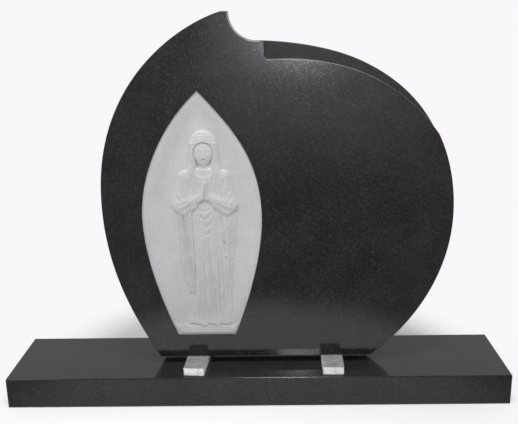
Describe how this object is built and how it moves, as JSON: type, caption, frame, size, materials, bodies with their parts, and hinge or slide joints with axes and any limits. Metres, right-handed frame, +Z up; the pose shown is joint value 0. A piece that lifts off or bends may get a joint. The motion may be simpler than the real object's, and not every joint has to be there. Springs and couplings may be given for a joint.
{
  "type": "headstone",
  "caption": "Leaf-shaped polished black granite headstone with a sunk relief panel of a veiled standing figure, on rough granite strips and a long base slab.",
  "frame": {"origin": "middle of the base slab's underside", "axes": "+X along the base slab, to the right as seen from the front; the carved front faces -Y; +Z up"},
  "size_m": [1.6, 0.3, 1.214],
  "materials": {
    "polished_black_granite": "mirror polish, fine grey speckle",
    "carved_black_granite": "mirror polish, with the carved panel frosted light grey",
    "rough_grey_granite": "rough sawn"
  },
  "bodies": {
    "root": {"base_slab": "polished_black_granite", "headstone": "carved_black_granite", "spacer_left": "rough_grey_granite", "spacer_right": "rough_grey_granite"}
  },
  "joints": []
}
